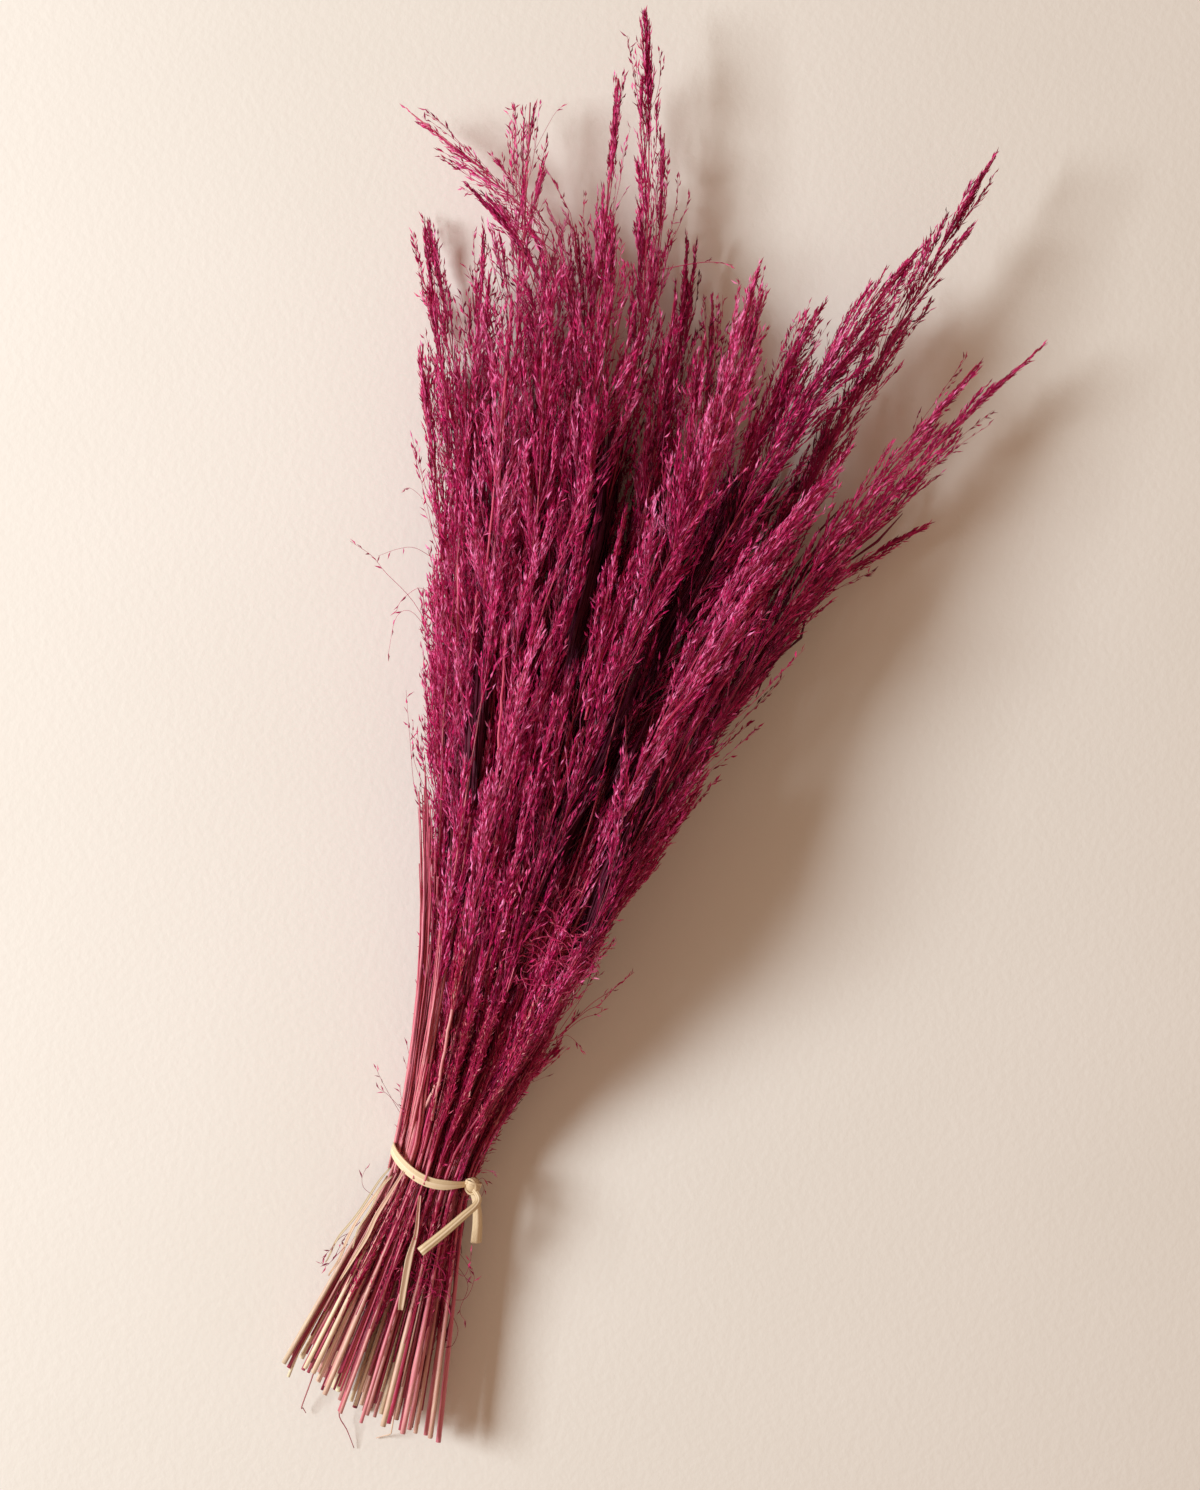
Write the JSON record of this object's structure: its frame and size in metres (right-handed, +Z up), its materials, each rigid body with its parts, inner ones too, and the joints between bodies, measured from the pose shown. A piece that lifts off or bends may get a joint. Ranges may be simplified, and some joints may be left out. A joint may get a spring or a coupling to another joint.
{
  "type": "bundle of bent grass",
  "caption": "Tied bundle of dyed, dried bent grass lying on its side, with feathery plumes that fan out from a raffia tie and a short spread of bare cut stems below it.",
  "frame": {"origin": "middle of the bundle's bounding box at its foot, on the surface that it lies on", "axes": "+Z up, +Y along the bundle from the cut ends to the tips, +X to the right seen from above with the tips away"},
  "size_m": [0.3198, 0.6718, 0.0841],
  "materials": {
    "dyed_grass": "matte dyed plant fibre",
    "raffia": "satin dry fibre",
    "dry_leaf": "matte dry leaf"
  },
  "bodies": {
    "root": {"spray_01": "dyed_grass", "spray_02": "dyed_grass", "spray_03": "dyed_grass", "spray_04": "dyed_grass", "spray_05": "dyed_grass", "spray_06": "dyed_grass", "spray_07": "dyed_grass", "spray_08": "dyed_grass", "spray_09": "dyed_grass", "spray_10": "dyed_grass", "spray_11": "dyed_grass", "spray_12": "dyed_grass", "spray_13": "dyed_grass", "spray_14": "dyed_grass", "spray_15": "dyed_grass", "spray_16": "dyed_grass", "spray_17": "dyed_grass", "spray_18": "dyed_grass", "spray_19": "dyed_grass", "spray_20": "dyed_grass", "spray_21": "dyed_grass", "spray_22": "dyed_grass", "spray_23": "dyed_grass", "spray_24": "dyed_grass", "spray_25": "dyed_grass", "spray_26": "dyed_grass", "spray_27": "dyed_grass", "spray_28": "dyed_grass", "spray_29": "dyed_grass", "spray_30": "dyed_grass", "spray_31": "dyed_grass", "spray_32": "dyed_grass", "spray_33": "dyed_grass", "spray_34": "dyed_grass", "spray_35": "dyed_grass", "spray_36": "dyed_grass", "spray_37": "dyed_grass", "spray_38": "dyed_grass", "spray_39": "dyed_grass", "spray_40": "dyed_grass", "spray_41": "dyed_grass", "spray_42": "dyed_grass", "spray_43": "dyed_grass", "spray_44": "dyed_grass", "spray_45": "dyed_grass", "spray_46": "dyed_grass", "spray_47": "dyed_grass", "spray_48": "dyed_grass", "tie": "raffia", "leaf_front": "dry_leaf", "leaf_left": "dry_leaf"}
  },
  "joints": []
}
